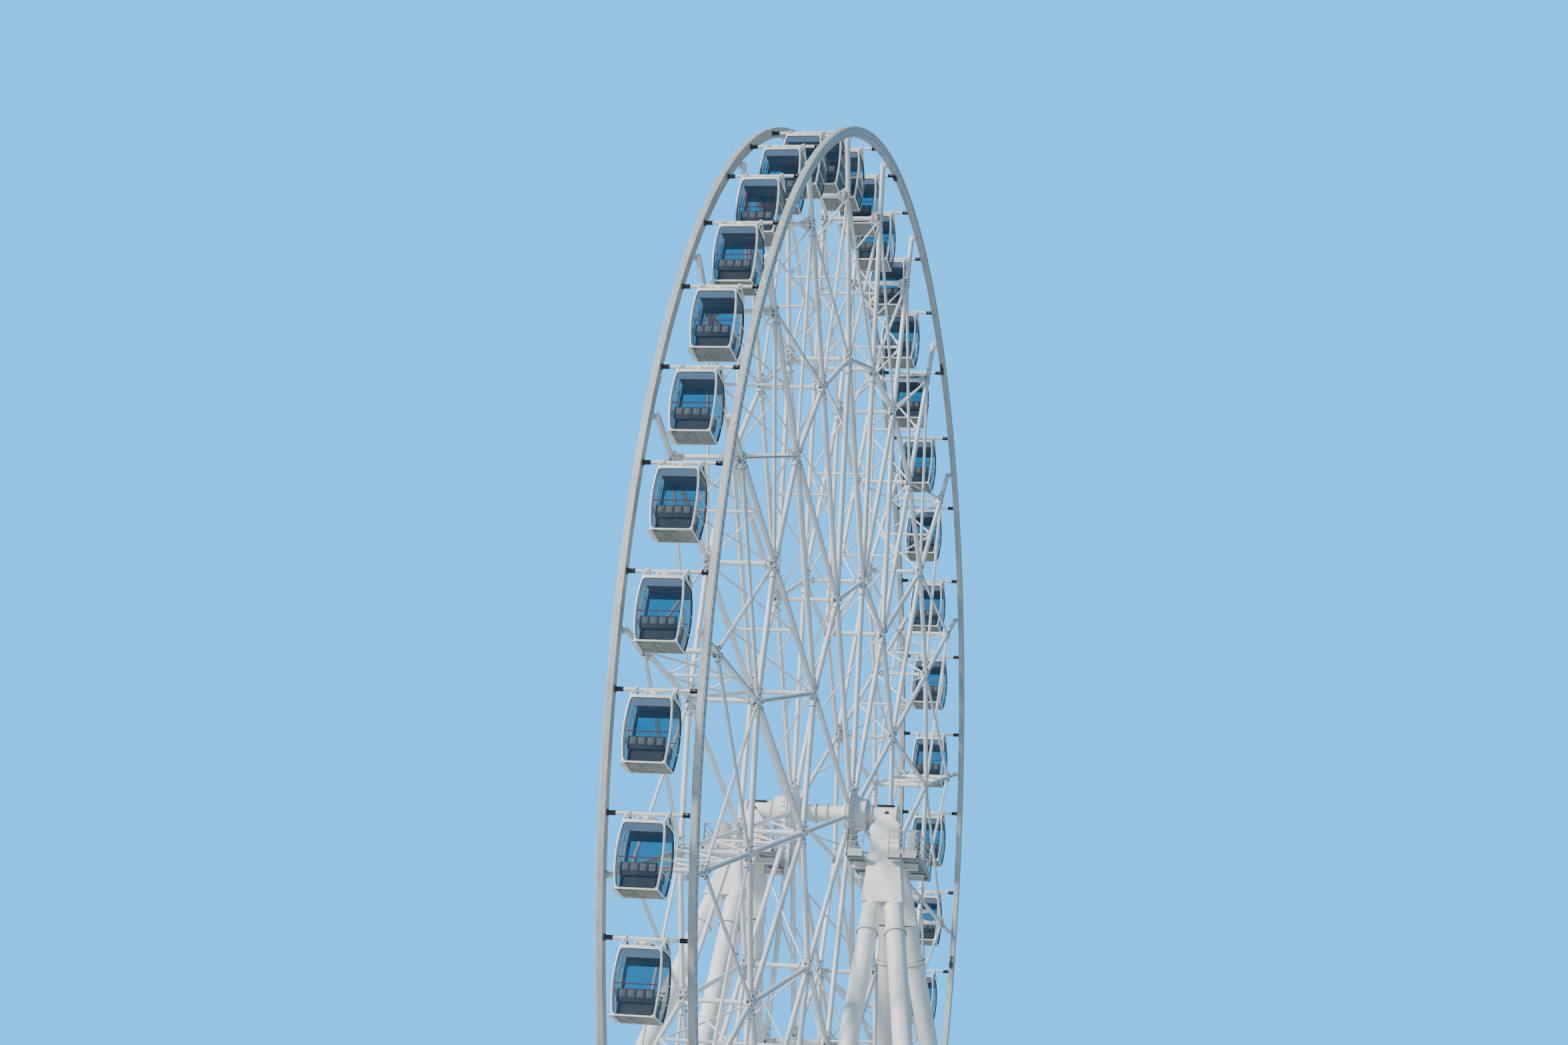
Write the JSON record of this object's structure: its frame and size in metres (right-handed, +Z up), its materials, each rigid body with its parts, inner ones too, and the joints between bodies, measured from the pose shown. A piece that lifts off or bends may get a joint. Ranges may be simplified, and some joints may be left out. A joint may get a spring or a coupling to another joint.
{
  "type": "ferris wheel, giant observation wheel built as a 1:2 scale model",
  "caption": "Giant observation wheel: lattice spoke webs between paired rims, closed cabins that stay level as it turns, and a splayed-leg tower on each side. Scale model.",
  "frame": {"origin": "on the ground, midway between the two towers and straight below the hub", "axes": "+Z up, Y along the axle with the left tower at -Y, X across the wheel"},
  "size_m": [28.126, 10.4, 30.003],
  "materials": {
    "tower_paint": "semi-gloss white paint",
    "web_paint": "semi-gloss white paint",
    "hub_paint": "semi-gloss white paint",
    "rim_zinc": "weathered galvanised steel",
    "deck_zinc": "galvanised steel grating and rails",
    "cabin_paint": "satin off-white paint on the frame"
  },
  "bodies": {
    "towers": {"tower_left": "tower_paint", "tower_right": "tower_paint", "service_deck_left_inner": "deck_zinc", "service_deck_left_outer": "deck_zinc", "service_deck_right_inner": "deck_zinc", "service_deck_right_outer": "deck_zinc"},
    "wheel": {"hub": "hub_paint", "spoke_web_left": "web_paint", "spoke_web_right": "web_paint", "rim_left": "rim_zinc", "rim_right": "rim_zinc"},
    "cabin_01": {"cabin_01": "cabin_paint"},
    "cabin_02": {"cabin_02": "cabin_paint"},
    "cabin_03": {"cabin_03": "cabin_paint"},
    "cabin_04": {"cabin_04": "cabin_paint"},
    "cabin_05": {"cabin_05": "cabin_paint"},
    "cabin_06": {"cabin_06": "cabin_paint"},
    "cabin_07": {"cabin_07": "cabin_paint"},
    "cabin_08": {"cabin_08": "cabin_paint"},
    "cabin_09": {"cabin_09": "cabin_paint"},
    "cabin_10": {"cabin_10": "cabin_paint"},
    "cabin_11": {"cabin_11": "cabin_paint"},
    "cabin_12": {"cabin_12": "cabin_paint"},
    "cabin_13": {"cabin_13": "cabin_paint"},
    "cabin_14": {"cabin_14": "cabin_paint"},
    "cabin_15": {"cabin_15": "cabin_paint"},
    "cabin_16": {"cabin_16": "cabin_paint"},
    "cabin_17": {"cabin_17": "cabin_paint"},
    "cabin_18": {"cabin_18": "cabin_paint"},
    "cabin_19": {"cabin_19": "cabin_paint"},
    "cabin_20": {"cabin_20": "cabin_paint"},
    "cabin_21": {"cabin_21": "cabin_paint"},
    "cabin_22": {"cabin_22": "cabin_paint"},
    "cabin_23": {"cabin_23": "cabin_paint"},
    "cabin_24": {"cabin_24": "cabin_paint"},
    "cabin_25": {"cabin_25": "cabin_paint"},
    "cabin_26": {"cabin_26": "cabin_paint"},
    "cabin_27": {"cabin_27": "cabin_paint"},
    "cabin_28": {"cabin_28": "cabin_paint"},
    "cabin_29": {"cabin_29": "cabin_paint"},
    "cabin_30": {"cabin_30": "cabin_paint"},
    "cabin_31": {"cabin_31": "cabin_paint"},
    "cabin_32": {"cabin_32": "cabin_paint"},
    "cabin_33": {"cabin_33": "cabin_paint"},
    "cabin_34": {"cabin_34": "cabin_paint"},
    "cabin_35": {"cabin_35": "cabin_paint"},
    "cabin_36": {"cabin_36": "cabin_paint"},
    "cabin_37": {"cabin_37": "cabin_paint"},
    "cabin_38": {"cabin_38": "cabin_paint"},
    "cabin_39": {"cabin_39": "cabin_paint"},
    "cabin_40": {"cabin_40": "cabin_paint"},
    "cabin_41": {"cabin_41": "cabin_paint"},
    "cabin_42": {"cabin_42": "cabin_paint"},
    "cabin_43": {"cabin_43": "cabin_paint"},
    "cabin_44": {"cabin_44": "cabin_paint"}
  },
  "joints": [
    {"name": "wheel_turn", "type": "hinge", "parent": "towers", "child": "wheel", "pos_m": [0, 0, 16.2], "axis": [0, 1, 0], "continuous": true},
    {"name": "cabin_01_pivot", "type": "hinge", "parent": "wheel", "child": "cabin_01", "pos_m": [0, 0, 29.9], "axis": [0, 1, 0], "continuous": true},
    {"name": "cabin_02_pivot", "type": "hinge", "parent": "wheel", "child": "cabin_02", "pos_m": [1.94971, 0, 29.76055], "axis": [0, 1, 0], "continuous": true},
    {"name": "cabin_03_pivot", "type": "hinge", "parent": "wheel", "child": "cabin_03", "pos_m": [3.85974, 0, 29.34505], "axis": [0, 1, 0], "continuous": true},
    {"name": "cabin_04_pivot", "type": "hinge", "parent": "wheel", "child": "cabin_04", "pos_m": [5.69119, 0, 28.66196], "axis": [0, 1, 0], "continuous": true},
    {"name": "cabin_05_pivot", "type": "hinge", "parent": "wheel", "child": "cabin_05", "pos_m": [7.40678, 0, 27.72517], "axis": [0, 1, 0], "continuous": true},
    {"name": "cabin_06_pivot", "type": "hinge", "parent": "wheel", "child": "cabin_06", "pos_m": [8.97159, 0, 26.55377], "axis": [0, 1, 0], "continuous": true},
    {"name": "cabin_07_pivot", "type": "hinge", "parent": "wheel", "child": "cabin_07", "pos_m": [10.35377, 0, 25.17159], "axis": [0, 1, 0], "continuous": true},
    {"name": "cabin_08_pivot", "type": "hinge", "parent": "wheel", "child": "cabin_08", "pos_m": [11.52517, 0, 23.60678], "axis": [0, 1, 0], "continuous": true},
    {"name": "cabin_09_pivot", "type": "hinge", "parent": "wheel", "child": "cabin_09", "pos_m": [12.46196, 0, 21.89119], "axis": [0, 1, 0], "continuous": true},
    {"name": "cabin_10_pivot", "type": "hinge", "parent": "wheel", "child": "cabin_10", "pos_m": [13.14505, 0, 20.05974], "axis": [0, 1, 0], "continuous": true},
    {"name": "cabin_11_pivot", "type": "hinge", "parent": "wheel", "child": "cabin_11", "pos_m": [13.56055, 0, 18.14971], "axis": [0, 1, 0], "continuous": true},
    {"name": "cabin_12_pivot", "type": "hinge", "parent": "wheel", "child": "cabin_12", "pos_m": [13.7, 0, 16.2], "axis": [0, 1, 0], "continuous": true},
    {"name": "cabin_13_pivot", "type": "hinge", "parent": "wheel", "child": "cabin_13", "pos_m": [13.56055, 0, 14.25029], "axis": [0, 1, 0], "continuous": true},
    {"name": "cabin_14_pivot", "type": "hinge", "parent": "wheel", "child": "cabin_14", "pos_m": [13.14505, 0, 12.34026], "axis": [0, 1, 0], "continuous": true},
    {"name": "cabin_15_pivot", "type": "hinge", "parent": "wheel", "child": "cabin_15", "pos_m": [12.46196, 0, 10.50881], "axis": [0, 1, 0], "continuous": true},
    {"name": "cabin_16_pivot", "type": "hinge", "parent": "wheel", "child": "cabin_16", "pos_m": [11.52517, 0, 8.79322], "axis": [0, 1, 0], "continuous": true},
    {"name": "cabin_17_pivot", "type": "hinge", "parent": "wheel", "child": "cabin_17", "pos_m": [10.35377, 0, 7.22841], "axis": [0, 1, 0], "continuous": true},
    {"name": "cabin_18_pivot", "type": "hinge", "parent": "wheel", "child": "cabin_18", "pos_m": [8.97159, 0, 5.84623], "axis": [0, 1, 0], "continuous": true},
    {"name": "cabin_19_pivot", "type": "hinge", "parent": "wheel", "child": "cabin_19", "pos_m": [7.40678, 0, 4.67483], "axis": [0, 1, 0], "continuous": true},
    {"name": "cabin_20_pivot", "type": "hinge", "parent": "wheel", "child": "cabin_20", "pos_m": [5.69119, 0, 3.73804], "axis": [0, 1, 0], "continuous": true},
    {"name": "cabin_21_pivot", "type": "hinge", "parent": "wheel", "child": "cabin_21", "pos_m": [3.85974, 0, 3.05495], "axis": [0, 1, 0], "continuous": true},
    {"name": "cabin_22_pivot", "type": "hinge", "parent": "wheel", "child": "cabin_22", "pos_m": [1.94971, 0, 2.63945], "axis": [0, 1, 0], "continuous": true},
    {"name": "cabin_23_pivot", "type": "hinge", "parent": "wheel", "child": "cabin_23", "pos_m": [0, 0, 2.5], "axis": [0, 1, 0], "continuous": true},
    {"name": "cabin_24_pivot", "type": "hinge", "parent": "wheel", "child": "cabin_24", "pos_m": [-1.94971, 0, 2.63945], "axis": [0, 1, 0], "continuous": true},
    {"name": "cabin_25_pivot", "type": "hinge", "parent": "wheel", "child": "cabin_25", "pos_m": [-3.85974, 0, 3.05495], "axis": [0, 1, 0], "continuous": true},
    {"name": "cabin_26_pivot", "type": "hinge", "parent": "wheel", "child": "cabin_26", "pos_m": [-5.69119, 0, 3.73804], "axis": [0, 1, 0], "continuous": true},
    {"name": "cabin_27_pivot", "type": "hinge", "parent": "wheel", "child": "cabin_27", "pos_m": [-7.40678, 0, 4.67483], "axis": [0, 1, 0], "continuous": true},
    {"name": "cabin_28_pivot", "type": "hinge", "parent": "wheel", "child": "cabin_28", "pos_m": [-8.97159, 0, 5.84623], "axis": [0, 1, 0], "continuous": true},
    {"name": "cabin_29_pivot", "type": "hinge", "parent": "wheel", "child": "cabin_29", "pos_m": [-10.35377, 0, 7.22841], "axis": [0, 1, 0], "continuous": true},
    {"name": "cabin_30_pivot", "type": "hinge", "parent": "wheel", "child": "cabin_30", "pos_m": [-11.52517, 0, 8.79322], "axis": [0, 1, 0], "continuous": true},
    {"name": "cabin_31_pivot", "type": "hinge", "parent": "wheel", "child": "cabin_31", "pos_m": [-12.46196, 0, 10.50881], "axis": [0, 1, 0], "continuous": true},
    {"name": "cabin_32_pivot", "type": "hinge", "parent": "wheel", "child": "cabin_32", "pos_m": [-13.14505, 0, 12.34026], "axis": [0, 1, 0], "continuous": true},
    {"name": "cabin_33_pivot", "type": "hinge", "parent": "wheel", "child": "cabin_33", "pos_m": [-13.56055, 0, 14.25029], "axis": [0, 1, 0], "continuous": true},
    {"name": "cabin_34_pivot", "type": "hinge", "parent": "wheel", "child": "cabin_34", "pos_m": [-13.7, 0, 16.2], "axis": [0, 1, 0], "continuous": true},
    {"name": "cabin_35_pivot", "type": "hinge", "parent": "wheel", "child": "cabin_35", "pos_m": [-13.56055, 0, 18.14971], "axis": [0, 1, 0], "continuous": true},
    {"name": "cabin_36_pivot", "type": "hinge", "parent": "wheel", "child": "cabin_36", "pos_m": [-13.14505, 0, 20.05974], "axis": [0, 1, 0], "continuous": true},
    {"name": "cabin_37_pivot", "type": "hinge", "parent": "wheel", "child": "cabin_37", "pos_m": [-12.46196, 0, 21.89119], "axis": [0, 1, 0], "continuous": true},
    {"name": "cabin_38_pivot", "type": "hinge", "parent": "wheel", "child": "cabin_38", "pos_m": [-11.52517, 0, 23.60678], "axis": [0, 1, 0], "continuous": true},
    {"name": "cabin_39_pivot", "type": "hinge", "parent": "wheel", "child": "cabin_39", "pos_m": [-10.35377, 0, 25.17159], "axis": [0, 1, 0], "continuous": true},
    {"name": "cabin_40_pivot", "type": "hinge", "parent": "wheel", "child": "cabin_40", "pos_m": [-8.97159, 0, 26.55377], "axis": [0, 1, 0], "continuous": true},
    {"name": "cabin_41_pivot", "type": "hinge", "parent": "wheel", "child": "cabin_41", "pos_m": [-7.40678, 0, 27.72517], "axis": [0, 1, 0], "continuous": true},
    {"name": "cabin_42_pivot", "type": "hinge", "parent": "wheel", "child": "cabin_42", "pos_m": [-5.69119, 0, 28.66196], "axis": [0, 1, 0], "continuous": true},
    {"name": "cabin_43_pivot", "type": "hinge", "parent": "wheel", "child": "cabin_43", "pos_m": [-3.85974, 0, 29.34505], "axis": [0, 1, 0], "continuous": true},
    {"name": "cabin_44_pivot", "type": "hinge", "parent": "wheel", "child": "cabin_44", "pos_m": [-1.94971, 0, 29.76055], "axis": [0, 1, 0], "continuous": true}
  ],
  "couplings": [
    {"joint": "cabin_01_pivot", "follows": "wheel_turn", "ratio": -1},
    {"joint": "cabin_02_pivot", "follows": "wheel_turn", "ratio": -1},
    {"joint": "cabin_03_pivot", "follows": "wheel_turn", "ratio": -1},
    {"joint": "cabin_04_pivot", "follows": "wheel_turn", "ratio": -1},
    {"joint": "cabin_05_pivot", "follows": "wheel_turn", "ratio": -1},
    {"joint": "cabin_06_pivot", "follows": "wheel_turn", "ratio": -1},
    {"joint": "cabin_07_pivot", "follows": "wheel_turn", "ratio": -1},
    {"joint": "cabin_08_pivot", "follows": "wheel_turn", "ratio": -1},
    {"joint": "cabin_09_pivot", "follows": "wheel_turn", "ratio": -1},
    {"joint": "cabin_10_pivot", "follows": "wheel_turn", "ratio": -1},
    {"joint": "cabin_11_pivot", "follows": "wheel_turn", "ratio": -1},
    {"joint": "cabin_12_pivot", "follows": "wheel_turn", "ratio": -1},
    {"joint": "cabin_13_pivot", "follows": "wheel_turn", "ratio": -1},
    {"joint": "cabin_14_pivot", "follows": "wheel_turn", "ratio": -1},
    {"joint": "cabin_15_pivot", "follows": "wheel_turn", "ratio": -1},
    {"joint": "cabin_16_pivot", "follows": "wheel_turn", "ratio": -1},
    {"joint": "cabin_17_pivot", "follows": "wheel_turn", "ratio": -1},
    {"joint": "cabin_18_pivot", "follows": "wheel_turn", "ratio": -1},
    {"joint": "cabin_19_pivot", "follows": "wheel_turn", "ratio": -1},
    {"joint": "cabin_20_pivot", "follows": "wheel_turn", "ratio": -1},
    {"joint": "cabin_21_pivot", "follows": "wheel_turn", "ratio": -1},
    {"joint": "cabin_22_pivot", "follows": "wheel_turn", "ratio": -1},
    {"joint": "cabin_23_pivot", "follows": "wheel_turn", "ratio": -1},
    {"joint": "cabin_24_pivot", "follows": "wheel_turn", "ratio": -1},
    {"joint": "cabin_25_pivot", "follows": "wheel_turn", "ratio": -1},
    {"joint": "cabin_26_pivot", "follows": "wheel_turn", "ratio": -1},
    {"joint": "cabin_27_pivot", "follows": "wheel_turn", "ratio": -1},
    {"joint": "cabin_28_pivot", "follows": "wheel_turn", "ratio": -1},
    {"joint": "cabin_29_pivot", "follows": "wheel_turn", "ratio": -1},
    {"joint": "cabin_30_pivot", "follows": "wheel_turn", "ratio": -1},
    {"joint": "cabin_31_pivot", "follows": "wheel_turn", "ratio": -1},
    {"joint": "cabin_32_pivot", "follows": "wheel_turn", "ratio": -1},
    {"joint": "cabin_33_pivot", "follows": "wheel_turn", "ratio": -1},
    {"joint": "cabin_34_pivot", "follows": "wheel_turn", "ratio": -1},
    {"joint": "cabin_35_pivot", "follows": "wheel_turn", "ratio": -1},
    {"joint": "cabin_36_pivot", "follows": "wheel_turn", "ratio": -1},
    {"joint": "cabin_37_pivot", "follows": "wheel_turn", "ratio": -1},
    {"joint": "cabin_38_pivot", "follows": "wheel_turn", "ratio": -1},
    {"joint": "cabin_39_pivot", "follows": "wheel_turn", "ratio": -1},
    {"joint": "cabin_40_pivot", "follows": "wheel_turn", "ratio": -1},
    {"joint": "cabin_41_pivot", "follows": "wheel_turn", "ratio": -1},
    {"joint": "cabin_42_pivot", "follows": "wheel_turn", "ratio": -1},
    {"joint": "cabin_43_pivot", "follows": "wheel_turn", "ratio": -1},
    {"joint": "cabin_44_pivot", "follows": "wheel_turn", "ratio": -1}
  ]
}
